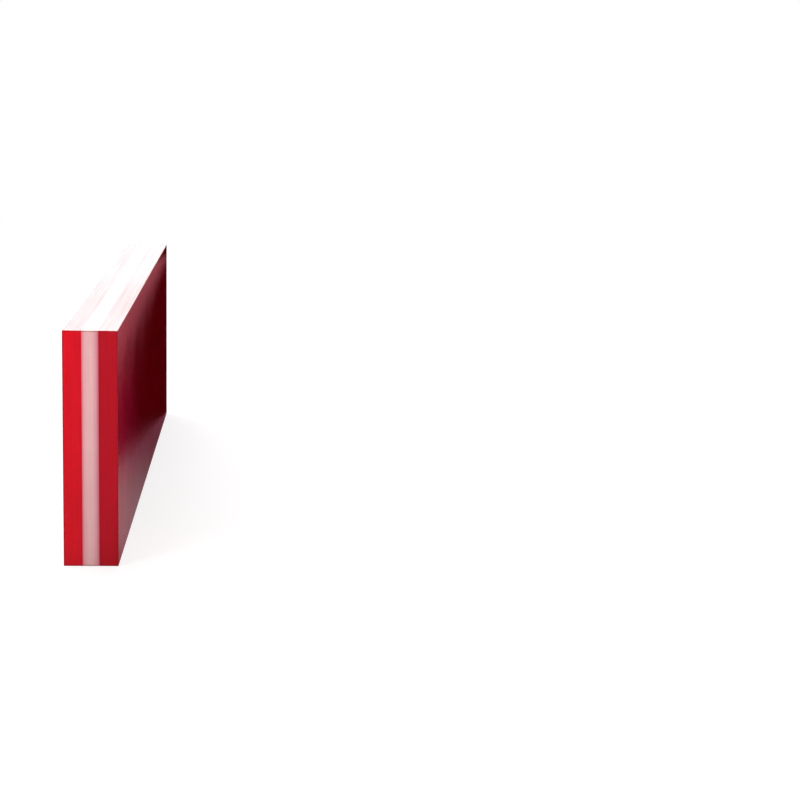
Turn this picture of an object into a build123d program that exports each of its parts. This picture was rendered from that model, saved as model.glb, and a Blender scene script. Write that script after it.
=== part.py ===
from build123d import *
import os

# A three-layer squeegee blade for screen and stencil printing, in millimetres.
# A hard core is bonded between two softer outer layers, all of cast polyurethane, and the
# laminated sheet is slit and cut to length with a knife, so every corner is square and crisp.
# The blade stands on one of its long edges. X runs through its thickness, Y along its length
# and Z up its height. The origin is the centre of the edge that it stands on.

# Driving dimensions
blade_length = 152.4
blade_height = 41.3
core_thickness = 2.9
outer_layer_thickness = 3.3
corner_radius = 0.15

# Sizes that follow from them
blade_thickness = core_thickness + 2 * outer_layer_thickness
bond_offset = core_thickness / 2
face_offset = blade_thickness / 2


def cut_blade():
    """The whole blade as one bar, with the small radius that the knife leaves on every corner."""
    section = Plane.XZ * Pos(0, blade_height / 2) * Rectangle(blade_thickness, blade_height)
    bar = extrude(section, amount=blade_length / 2, both=True)
    return fillet(bar.edges(), corner_radius)


def layer(blade, inner_x, outer_x):
    """The part of the blade between two planes across its thickness."""
    width = outer_x - inner_x
    centre = Pos((inner_x + outer_x) / 2, 0, blade_height / 2)
    slab = centre * Box(width, blade_length, blade_height)
    return blade & slab


def main():
    blade = cut_blade()
    layers = {
        "left_outer_layer": layer(blade, -face_offset, -bond_offset),
        "core_layer": layer(blade, -bond_offset, bond_offset),
        "right_outer_layer": layer(blade, bond_offset, face_offset),
    }
    os.makedirs("parts", exist_ok=True)
    for name, solid in layers.items():
        solid.label = name
        export_step(solid, f"parts/{name}.step")


main()
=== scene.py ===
import math

import bpy
import numpy as np
from mathutils import Matrix, Vector

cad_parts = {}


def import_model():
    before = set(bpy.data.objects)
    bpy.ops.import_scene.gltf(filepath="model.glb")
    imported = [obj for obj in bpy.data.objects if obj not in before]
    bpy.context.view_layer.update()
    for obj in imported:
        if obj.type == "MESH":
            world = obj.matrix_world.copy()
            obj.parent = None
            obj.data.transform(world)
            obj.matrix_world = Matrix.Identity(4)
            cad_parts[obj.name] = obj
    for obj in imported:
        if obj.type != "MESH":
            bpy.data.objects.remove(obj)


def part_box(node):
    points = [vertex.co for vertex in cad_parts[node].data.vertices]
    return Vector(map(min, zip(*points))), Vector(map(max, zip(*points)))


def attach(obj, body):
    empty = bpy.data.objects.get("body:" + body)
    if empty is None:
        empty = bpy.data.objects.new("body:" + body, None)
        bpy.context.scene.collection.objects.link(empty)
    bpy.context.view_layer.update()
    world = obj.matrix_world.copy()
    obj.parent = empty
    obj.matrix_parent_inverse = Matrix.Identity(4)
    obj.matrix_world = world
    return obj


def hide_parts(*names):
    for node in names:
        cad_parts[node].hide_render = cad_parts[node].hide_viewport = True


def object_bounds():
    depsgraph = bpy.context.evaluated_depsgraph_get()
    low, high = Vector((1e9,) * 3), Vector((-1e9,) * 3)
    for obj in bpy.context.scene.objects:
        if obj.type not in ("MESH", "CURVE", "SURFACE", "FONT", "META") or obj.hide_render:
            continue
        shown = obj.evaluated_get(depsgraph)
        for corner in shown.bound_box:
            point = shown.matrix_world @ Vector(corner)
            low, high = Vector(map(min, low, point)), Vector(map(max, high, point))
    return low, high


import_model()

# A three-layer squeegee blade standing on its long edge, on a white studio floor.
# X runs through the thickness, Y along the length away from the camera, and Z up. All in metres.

MM = 0.001
CAD_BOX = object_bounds()
BLADE_LOW, BLADE_HIGH = CAD_BOX
HALF_THICKNESS = BLADE_HIGH.x
HALF_LENGTH = BLADE_HIGH.y
HEIGHT = BLADE_HIGH.z
HALF_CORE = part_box("core_layer")[1].x

# Shape
CORNER_RADIUS = 0.15 * MM
CORNER_STEPS = 4
CROSS_STEP = 0.12 * MM
LONG_STEP = 0.8 * MM
HEIGHT_STEP = 0.6 * MM

# Relief, all of it inwards from the flat faces of the frame
KNIFE_DEPTH = 0.012 * MM
PEEL_DEPTH = 0.006 * MM
SWELL_DEPTH = 0.02 * MM

# The camera, found by fitting these sizes to the corners and edges in the photograph
IMAGE_SIZE = 800
SENSOR_WIDTH = 36.0
FOCAL_PIXELS = 2137.2
CAMERA_PLACE = Vector((32.99, -439.48, 91.69)) * MM
CAMERA_PITCH = math.radians(9.659)
CAMERA_ROLL = math.radians(1.042)
CAMERA_YAW = math.radians(3.182)

# The studio
FLOOR_SIZE = 12.0
FLOOR_TONE = 0.3
FLOOR_LIFT = 0.79
FLOOR_BOUNCE = 0.25
# Painted light on the floor as reflections see it, near the blade's front.
FLOOR_MIRRORED_PAINTED_LIGHT = 0.14
FLOOR_FADE = (0.25, 0.6)
LEFT_AMBIENT = 0.36
RIGHT_AMBIENT = 0.2
FRONT_TONE = 0.08
# Painted grey-red of the floor in reflections, for red light falling on it.
FLOOR_MIRRORED_PAINTED_TONE = (0.34, 0.14, 0.21)
# The dark card is a painted reflection: black for shade on the right face, with painted reddish glow near its front
# and over its upper band.
CARD_LINE = (0.0245, -0.076, -0.0005, 0.12)
CARD_NEAR_FADE = (-0.074, 0.014)
CARD_RIM = (0.0375, 0.0395)
CARD_HEIGHT = 0.041
CARD_SHADE_LINE = (0.0245, 0.027, 0.28)
CARD_DARK = (0.0, 0.0, 0.0)
CARD_FRONT_GLOW = (0.06, 0.002, 0.02)
CARD_TOP_GLOW = (0.42, 0.10, 0.13)


def grid_lines(low, high, step, round_low, round_high):
    """Coordinates from low to high, closer together where a corner is rounded at that end."""
    fan = [CORNER_RADIUS * math.tan(math.pi / 4 * n / CORNER_STEPS) for n in range(CORNER_STEPS + 1)]
    first = [low + CORNER_RADIUS - f for f in reversed(fan)] if round_low else [low]
    last = [high - CORNER_RADIUS + f for f in fan] if round_high else [high]
    count = max(1, round((last[0] - first[-1]) / step))
    middle = np.linspace(first[-1], last[0], count + 1)[1:-1]
    guard = CORNER_RADIUS / 2
    guards = [first[-1] + guard] * round_low + [last[0] - guard] * round_high
    return np.unique(np.round(np.concatenate([first, middle, guards, last]), 9))


def shell(xs, ys, zs):
    """The outside of a block of grid lines: its points, and its four-sided faces."""
    shape = (len(xs), len(ys), len(zs))
    outside = np.ones(shape, bool)
    outside[1:-1, 1:-1, 1:-1] = False
    number = np.full(shape, -1)
    number[outside] = np.arange(outside.sum())
    i, j, k = np.nonzero(outside)
    points = np.stack([xs[i], ys[j], zs[k]], axis=1)
    faces = []
    for axis in range(3):
        for side, flip in ((0, axis != 1), (-1, axis == 1)):
            sheet = np.take(number, side, axis=axis)
            quads = np.stack([sheet[:-1, :-1], sheet[1:, :-1], sheet[1:, 1:], sheet[:-1, 1:]], axis=-1)
            quads = quads.reshape(-1, 4)
            faces.append(quads[:, ::-1] if flip else quads)
    return points, np.concatenate(faces)


def rounded(points):
    """Pulls the points near the blade's outer edges in to its corner radius."""
    low = np.array(BLADE_LOW) + CORNER_RADIUS
    high = np.array(BLADE_HIGH) - CORNER_RADIUS
    core = np.clip(points, low, high)
    out = points - core
    reach = np.abs(out).max(axis=1)
    length = np.linalg.norm(out, axis=1)
    scale = np.divide(reach, length, out=np.ones_like(reach), where=length > 0)
    normals = np.divide(out, length[:, None], out=np.zeros_like(out), where=length[:, None] > 0)
    on_outside = reach > CORNER_RADIUS * 0.999
    return core + out * scale[:, None], normals * on_outside[:, None]


def ripple(u, wavelengths, count, seed):
    """A smooth random curve along u, from -1 to 1, made of sines of these wavelengths."""
    rng = np.random.default_rng(seed)
    total = np.zeros_like(u)
    for _ in range(count):
        wavelength = rng.uniform(*wavelengths)
        total += np.sin(2 * math.pi * u / wavelength + rng.uniform(0, 2 * math.pi))
    return total / count


def ripple_field(u, v, wavelengths, count, seed):
    """A smooth random field over u and v, from -1 to 1, made of sines that run every way."""
    rng = np.random.default_rng(seed)
    total = np.zeros_like(u)
    for _ in range(count):
        wavelength = rng.uniform(*wavelengths)
        turn = rng.uniform(0, math.pi)
        along = u * math.cos(turn) + v * math.sin(turn)
        total += np.sin(2 * math.pi * along / wavelength + rng.uniform(0, 2 * math.pi))
    return total / count


def relief(points):
    """How deep the surface lies at each point on the ends, on the long edges and on the broad faces."""
    x, y, z = points.T
    end_drift = 0.15 * MM * np.sin(z / (9 * MM) + np.sign(y))
    end = ripple(x + end_drift, (0.5 * MM, 2.5 * MM), 14, 1) + 0.5 * ripple(z, (3 * MM, 9 * MM), 6, 2)
    edge_drift = 0.12 * MM * np.sin(y / (17 * MM) + np.sign(z - HEIGHT / 2))
    edge = ripple(x + edge_drift, (0.5 * MM, 2.0 * MM), 14, 3) + 0.4 * ripple(y, (8 * MM, 30 * MM), 6, 4)
    peel = ripple_field(y, z, (1.8 * MM, 5 * MM), 40, 5)
    swell = ripple_field(y, z, (25 * MM, 70 * MM), 10, 6)
    knife = np.stack([end, edge]) * KNIFE_DEPTH - KNIFE_DEPTH
    broad = peel * PEEL_DEPTH - PEEL_DEPTH + (swell - 1) * SWELL_DEPTH / 2
    return broad, knife[0], knife[1]


def layer_piece(node, name, material):
    """One layer of the blade: the frame's own box with its small corners and the relief of its faces."""
    low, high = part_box(node)
    xs = grid_lines(low.x, high.x, CROSS_STEP, low.x < BLADE_LOW.x + MM / 10, high.x > BLADE_HIGH.x - MM / 10)
    ys = grid_lines(low.y, high.y, LONG_STEP, True, True)
    zs = grid_lines(low.z, high.z, HEIGHT_STEP, True, True)
    points, faces = shell(xs, ys, zs)
    points, normals = rounded(points)
    broad, end, edge = relief(points)
    depth = np.stack([broad, end, edge], axis=1)
    points = points + normals * np.abs(normals) * depth
    mesh = bpy.data.meshes.new(name)
    mesh.from_pydata(points.tolist(), [], faces.tolist())
    mesh.polygons.foreach_set("use_smooth", np.ones(len(faces), bool))
    mesh.set_sharp_from_angle(angle=math.radians(40))
    mesh.materials.append(material)
    piece = bpy.data.objects.new(name, mesh)
    bpy.context.scene.collection.objects.link(piece)
    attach(piece, "root")
    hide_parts(node)
    return piece


class Shader:
    """A material's nodes, with short ways to add them and to join them."""

    def __init__(self, name, tree=None):
        if tree is None:
            self.material = bpy.data.materials.new(name)
            self.material.use_nodes = True
            tree = self.material.node_tree
        self.tree = tree
        self.tree.nodes.clear()

    def put(self, kind, inputs=None, **settings):
        """Adds a node. inputs maps a socket to a value or to another node's output."""
        node = self.tree.nodes.new("ShaderNode" + kind)
        for key, value in settings.items():
            setattr(node, key, value)
        for key, value in (inputs or {}).items():
            if isinstance(value, bpy.types.NodeSocket):
                self.tree.links.new(value, node.inputs[key])
            else:
                node.inputs[key].default_value = value
        return node

    def maths(self, operation, *values, clamp=False):
        node = self.put("Math", dict(enumerate(values)), operation=operation, use_clamp=clamp)
        return node.outputs[0]

    def fade(self, value, start, stop, low=0.0, high=1.0):
        """Goes smoothly from low to high as value goes from start to stop."""
        inputs = {"Value": value, "From Min": start, "From Max": stop, "To Min": low, "To Max": high}
        return self.put("MapRange", inputs, interpolation_type="SMOOTHSTEP").outputs[0]

    def blend(self, share, first, second):
        """A colour that goes from first to second as share goes from 0 to 1."""
        inputs = {0: share, 6: first, 7: second}
        return self.put("Mix", inputs, data_type="RGBA").outputs[2]

    def noise(self, vector, scale, detail=2.0, roughness=0.5):
        inputs = {"Vector": vector, "Scale": scale, "Detail": detail, "Roughness": roughness}
        return self.put("TexNoise", inputs).outputs["Fac"]

    def finish(self, surface):
        self.put("OutputMaterial", {"Surface": surface})
        return self.material


def blade_masks(shader):
    """Where a point is on the blade: its coordinates, and how far in it is from each pair of faces."""
    place = shader.put("TexCoord").outputs["Object"]
    split = shader.put("SeparateXYZ", {0: place})
    x, y, z = split.outputs
    from_broad = shader.maths("SUBTRACT", HALF_THICKNESS, shader.maths("ABSOLUTE", x))
    from_end = shader.maths("SUBTRACT", HALF_LENGTH, shader.maths("ABSOLUTE", y))
    from_edge = shader.maths("MINIMUM", z, shader.maths("SUBTRACT", HEIGHT, z))
    nearer = shader.maths("MINIMUM", from_broad, from_end)
    farther = shader.maths("MAXIMUM", from_broad, from_end)
    from_corner = shader.maths("MAXIMUM", nearer, shader.maths("MINIMUM", farther, from_edge))
    return {
        "place": place,
        "x": x,
        "y": y,
        "z": z,
        "cut": shader.fade(shader.maths("MINIMUM", from_end, from_edge), 0.25 * MM, 0.05 * MM),
        "end": shader.fade(from_end, 0.25 * MM, 0.05 * MM),
        "from_corner": from_corner,
    }


def stretched(shader, masks, x_size, y_size, z_size):
    """Coordinates for a pattern whose features have these sizes."""
    scale = (1 / x_size, 1 / y_size, 1 / z_size)
    return shader.put("VectorMath", {0: masks["place"], 1: scale}, operation="MULTIPLY").outputs[0]


def finish_blade(shader, masks, colour, corner_colour, skin, sheen_roughness, glow_radius):
    """Adds the surface that all layers share: knife lines where cut, a fine moulded skin elsewhere."""
    lines = shader.noise(stretched(shader, masks, 0.16 * MM, 60 * MM, 14 * MM), 1.0, 3.0, 0.6)
    skin_grain = shader.noise(stretched(shader, masks, 0.35 * MM, 0.5 * MM, 0.35 * MM), 1.0, 3.0, 0.55)
    patches = shader.noise(stretched(shader, masks, 9 * MM, 14 * MM, 9 * MM), 1.0, 3.0, 0.6)
    streaks = shader.noise(stretched(shader, masks, 2 * MM, 3 * MM, 1.1 * MM), 1.0, 2.0, 0.5)
    mottle = shader.noise(stretched(shader, masks, 1.2 * MM, 3 * MM, 1.2 * MM), 1.0, 3.0, 0.6)
    drag = shader.noise(stretched(shader, masks, 2 * MM, 45 * MM, 0.5 * MM), 1.0, 3.0, 0.6)
    line_height = shader.maths("MULTIPLY", lines, masks["cut"])
    skin_share = shader.maths("SUBTRACT", 1.0, masks["cut"])
    skin_relief = shader.maths("ADD", shader.maths("MULTIPLY", skin_grain, skin), shader.maths("MULTIPLY", streaks, 5.0))
    skin_height = shader.maths("MULTIPLY", skin_relief, skin_share)
    height = shader.maths("ADD", line_height, skin_height)
    bump = shader.put("Bump", {"Strength": 1.0, "Distance": 0.012 * MM, "Height": height})
    cut_roughness = shader.fade(lines, 0.3, 0.7, sheen_roughness + 0.06, sheen_roughness + 0.18)
    skin_roughness = shader.fade(patches, 0.3, 0.7, sheen_roughness - 0.25, sheen_roughness - 0.2)
    mixed = shader.put("Mix", {0: masks["cut"], 2: skin_roughness, 3: cut_roughness}, data_type="FLOAT")
    # Darker in a broken band along every corner.
    corner_noise = shader.noise(stretched(shader, masks, 0.6 * MM, 1.2 * MM, 1.2 * MM), 1.0, 4.0, 0.65)
    near_corner = shader.fade(masks["from_corner"], 0.36 * MM, 0.14 * MM)
    corner = shader.maths("MULTIPLY", near_corner, shader.fade(corner_noise, 0.3, 0.7, 0.6, 0.95))
    cut_lines = shader.maths("MULTIPLY", masks["cut"], shader.fade(lines, 0.45, 0.75, 0.0, 0.2))
    mottled = shader.maths("ADD", shader.fade(mottle, 0.4, 0.75, 0.0, 0.16), shader.fade(drag, 0.5, 0.75, 0.0, 0.06))
    skin_marks = shader.maths("MULTIPLY", mottled, skin_share)
    marks = shader.maths("MAXIMUM", shader.maths("ADD", cut_lines, skin_marks), corner)
    worn = shader.blend(marks, colour, corner_colour)
    surface = shader.put(
        "BsdfPrincipled",
        {
            "Base Color": worn,
            "Roughness": mixed.outputs[0],
            "IOR": 1.4,
            "Normal": bump.outputs[0],
            "Subsurface Weight": 0.5,
            "Subsurface Radius": glow_radius,
            "Subsurface Scale": MM,
        },
    )
    return shader.finish(surface.outputs[0])


def red_material():
    """Soft red polyurethane: cloudy in the depth, with the right layer painted deeper in tone than the left as
    painted shade.
    """
    shader = Shader("red_polyurethane")
    masks = blade_masks(shader)
    cloud = shader.noise(stretched(shader, masks, 6 * MM, 22 * MM, 13 * MM), 1.0, 4.0, 0.6)
    grain = shader.noise(stretched(shader, masks, 0.3 * MM, 0.4 * MM, 0.4 * MM), 1.0, 2.0, 0.5)
    base = shader.blend(shader.fade(cloud, 0.3, 0.7), (0.68, 0.001, 0.011, 1.0), (0.76, 0.002, 0.015, 1.0))
    speckled = shader.blend(shader.fade(grain, 0.45, 0.75, 0.0, 0.2), base, (0.78, 0.006, 0.025, 1.0))
    # Painted shade: the right layer is darkened, for light that falls from the left.
    painted_right_shade = shader.fade(masks["x"], -HALF_CORE, HALF_CORE)
    inputs = {0: painted_right_shade, 6: speckled, 7: (0.68, 0.9, 0.85, 1.0)}
    colour = shader.put("Mix", inputs, data_type="RGBA", blend_type="MULTIPLY").outputs[2]
    return finish_blade(shader, masks, colour, (0.3, 0.001, 0.012, 1.0), 0.5, 0.34, (1.6, 0.2, 0.2))


def core_material():
    """Stiffer milky polyurethane, painted pink as red glow from the red layers beside it, pinker towards the bonds,
    and darker to the right as painted shade.
    """
    shader = Shader("pale_polyurethane")
    masks = blade_masks(shader)
    cloud = shader.noise(stretched(shader, masks, 5 * MM, 25 * MM, 11 * MM), 1.0, 4.0, 0.6)
    # Painted red glow: the off-white polyurethane is painted pink all over, for the red light it takes from the red
    # layers.
    base = shader.blend(shader.fade(cloud, 0.3, 0.7), (0.80, 0.475, 0.475, 1.0), (0.84, 0.51, 0.51, 1.0))
    # Painted red glow, stronger towards each bond.
    from_bond = shader.maths("SUBTRACT", HALF_CORE, shader.maths("ABSOLUTE", masks["x"]))
    pink_glow = shader.fade(from_bond, 1.3 * MM, 0.0, 0.0, 0.5)
    pink_glowed = shader.blend(pink_glow, base, (0.85, 0.30, 0.36, 1.0))
    bond_glow = shader.fade(from_bond, 0.5 * MM, 0.0, 0.0, 0.7)
    bond_glowed = shader.blend(bond_glow, pink_glowed, (0.80, 0.12, 0.19, 1.0))
    # Painted shade: darker and mauve towards the right, for light that falls from the left.
    painted_right_shade = shader.fade(masks["x"], 0.1 * MM, 1.4 * MM)
    inputs = {0: painted_right_shade, 6: bond_glowed, 7: (0.84, 0.72, 0.78, 1.0)}
    colour = shader.put("Mix", inputs, data_type="RGBA", blend_type="MULTIPLY").outputs[2]
    return finish_blade(shader, masks, colour, (0.45, 0.2, 0.18, 1.0), 0.5, 0.38, (0.7, 0.35, 0.3))


def camera():
    """The photograph's camera: turned right, tipped down and rolled a little."""
    forward = Vector((
        math.sin(CAMERA_YAW) * math.cos(CAMERA_PITCH),
        math.cos(CAMERA_YAW) * math.cos(CAMERA_PITCH),
        -math.sin(CAMERA_PITCH),
    ))
    level = Vector((math.cos(CAMERA_YAW), -math.sin(CAMERA_YAW), 0.0))
    upright = level.cross(forward)
    right = level * math.cos(CAMERA_ROLL) + upright * math.sin(CAMERA_ROLL)
    up = upright * math.cos(CAMERA_ROLL) - level * math.sin(CAMERA_ROLL)
    data = bpy.data.cameras.new("camera")
    data.sensor_width = SENSOR_WIDTH
    data.lens = FOCAL_PIXELS * SENSOR_WIDTH / IMAGE_SIZE
    data.clip_start = 0.01
    data.clip_end = 100.0
    seen_from = bpy.data.objects.new("camera", data)
    turn = Matrix((right, up, -forward)).transposed().to_4x4()
    seen_from.matrix_world = Matrix.Translation(CAMERA_PLACE) @ turn
    bpy.context.scene.collection.objects.link(seen_from)
    bpy.context.scene.camera = seen_from


def flat_piece(name, corners, material):
    """One flat four-sided stage piece."""
    mesh = bpy.data.meshes.new(name)
    mesh.from_pydata(corners, [], [(0, 1, 2, 3)])
    mesh.materials.append(material)
    piece = bpy.data.objects.new(name, mesh)
    bpy.context.scene.collection.objects.link(piece)
    return piece


def floor():
    """A pale floor that reads white to the camera, keeps the blade's soft shadow and fades out to plain white. In
    reflections it carries a painted grey-red tone, and painted light near the blade's front that fades to painted
    shade further back.
    """
    shader = Shader("studio_floor")
    place = shader.put("TexCoord").outputs["Object"]
    distance = shader.put("VectorMath", {0: place}, operation="LENGTH").outputs["Value"]
    far = shader.fade(distance, FLOOR_FADE[0], FLOOR_FADE[1])
    path = shader.put("LightPath")
    plain = shader.maths("MAXIMUM", path.outputs["Is Camera Ray"], path.outputs["Is Transmission Ray"])
    mirrored = path.outputs["Is Glossy Ray"]
    seen = shader.maths("MAXIMUM", plain, mirrored)
    # In reflections the floor takes a painted grey-red, for red light falling on it.
    tone = shader.blend(mirrored, (*[FLOOR_TONE] * 3, 1.0), (*FLOOR_MIRRORED_PAINTED_TONE, 1.0))
    lit = shader.put("BsdfDiffuse", {"Color": tone})
    plain_lift = shader.maths("MULTIPLY", plain, FLOOR_LIFT)
    # Painted light in reflections: a glow on the floor near the blade's front, dim in front of it and fading to
    # painted shade further back.
    behind = shader.fade(shader.put("SeparateXYZ", {0: place}).outputs[1], -0.085, -0.05, 0.1, 1.0)
    ahead = shader.fade(shader.put("SeparateXYZ", {0: place}).outputs[1], -0.04, 0.045, FLOOR_MIRRORED_PAINTED_LIGHT, 0.0)
    mirrored_painted_light = shader.maths("MULTIPLY", shader.maths("MULTIPLY", mirrored, behind), ahead)
    bounce = shader.maths("MULTIPLY", path.outputs["Is Diffuse Ray"], FLOOR_BOUNCE)
    lift = shader.put("Emission", {"Strength": shader.maths("ADD", bounce, shader.maths("ADD", plain_lift, mirrored_painted_light))})
    both = shader.put("AddShader", {0: lit.outputs[0], 1: lift.outputs[0]})
    white = shader.put("Emission", {"Strength": 1.0})
    share = shader.maths("MULTIPLY", far, seen)
    mixed = shader.put("MixShader", {0: share, 1: both.outputs[0], 2: white.outputs[0]})
    material = shader.finish(mixed.outputs[0])
    s = FLOOR_SIZE / 2
    flat_piece("floor", [(-s, -s, 0), (s, -s, 0), (s, s, 0), (-s, s, 0)], material)


def dark_card():
    """A dark card beside the blade, to its right, that shows only in reflections: a painted reflection that deepens
    its right face to shade, with a painted reddish glow over its upper band and near its front.
    """
    shader = Shader("dark_card")
    place = shader.put("TexCoord").outputs["Object"]
    y, z = shader.put("SeparateXYZ", {0: place}).outputs[1:]
    line_height, line_y, line_slope = CARD_SHADE_LINE
    rise = shader.maths("MULTIPLY", shader.maths("SUBTRACT", y, line_y), line_slope)
    above = shader.maths("SUBTRACT", shader.maths("SUBTRACT", z, line_height), rise)
    front = shader.blend(shader.fade(y, 0.036, 0.024), (*CARD_DARK, 1.0), (*CARD_FRONT_GLOW, 1.0))
    top = shader.blend(shader.fade(z, *CARD_RIM), (*CARD_TOP_GLOW, 1.0), (*CARD_DARK, 1.0))
    colour = shader.blend(shader.fade(above, -0.004, 0.004), front, top)
    dark = shader.put("Emission", {"Color": colour, "Strength": 1.0})
    clear = shader.put("BsdfTransparent")
    solid = shader.fade(y, *CARD_NEAR_FADE)
    card_surface = shader.put("MixShader", {0: solid, 1: clear.outputs[0], 2: dark.outputs[0]})
    near_x, near_y, far_x, far_y = CARD_LINE
    corners = [(near_x, near_y, 0), (far_x, far_y, 0), (far_x, far_y, CARD_HEIGHT), (near_x, near_y, CARD_HEIGHT)]
    card = flat_piece("dark_card", corners, shader.finish(card_surface.outputs[0]))
    card.visible_camera = False
    card.visible_diffuse = False
    card.visible_shadow = False
    card.visible_transmission = False
    card.visible_volume_scatter = False


def world():
    """White to the camera, white behind and dim in front in reflections, and elsewhere a soft light that is stronger
    from the left than from the right.
    """
    studio = bpy.data.worlds.new("studio")
    bpy.context.scene.world = studio
    studio.use_nodes = True
    shader = Shader("studio", studio.node_tree)
    toward = shader.put("TexCoord").outputs["Generated"]
    split = shader.put("SeparateXYZ", {0: toward})
    mirrored = shader.fade(split.outputs[1], -0.4, 0.5, FRONT_TONE, 1.0)
    path = shader.put("LightPath")
    plain = shader.maths("MAXIMUM", path.outputs["Is Camera Ray"], path.outputs["Is Transmission Ray"])
    ambient = shader.fade(split.outputs[0], -1.0, 1.0, LEFT_AMBIENT, RIGHT_AMBIENT)
    level = shader.put("Mix", {0: plain, 2: ambient, 3: 1.0}, data_type="FLOAT").outputs[0]
    strength = shader.put("Mix", {0: path.outputs["Is Glossy Ray"], 2: level, 3: mirrored}, data_type="FLOAT")
    shade = shader.put("Background", {"Color": (1, 1, 1, 1), "Strength": strength.outputs[0]})
    shader.put("OutputWorld", {"Surface": shade.outputs[0]})


def lamp(name, place, target, width, height, power, spread=180, mirrored=True):
    """A soft rectangular lamp aimed at a point."""
    data = bpy.data.lights.new(name, "AREA")
    data.shape = "RECTANGLE"
    data.size = width
    data.size_y = height
    data.energy = power
    data.spread = math.radians(spread)
    shining = bpy.data.objects.new(name, data)
    aim = Vector(target) - Vector(place)
    shining.matrix_world = Matrix.Translation(place) @ aim.to_track_quat("-Z", "Y").to_matrix().to_4x4()
    bpy.context.scene.collection.objects.link(shining)
    shining.visible_camera = False
    shining.visible_glossy = mirrored


def lights():
    near_top = (0.0, -HALF_LENGTH, HEIGHT)
    centre = (0.0, 0.0, HEIGHT / 2)
    lamp("key_lamp", (-0.09, -0.19, 0.07), near_top, 0.05, 0.05, 0.0215, 60, False)
    near_side = (HALF_THICKNESS, -0.07, HEIGHT / 2)
    lamp("side_lamp", (0.05, -0.085, 0.022), near_side, 0.02, 0.04, 0.0032, 90, False)
    lamp("overhead_lamp", (-0.3, 0.3, 1.0), centre, 0.6, 0.8, 6.0)
    lamp("rear_lamp", (-0.2, 1.3, 0.55), centre, 1.4, 0.7, 20.0)


red = red_material()
pale = core_material()
layer_piece("left_outer_layer", "left_outer_layer_surface", red)
layer_piece("core_layer", "core_layer_surface", pale)
layer_piece("right_outer_layer", "right_outer_layer_surface", red)
camera()
floor()
dark_card()
world()
lights()
bpy.context.scene.view_settings.view_transform = "Standard"
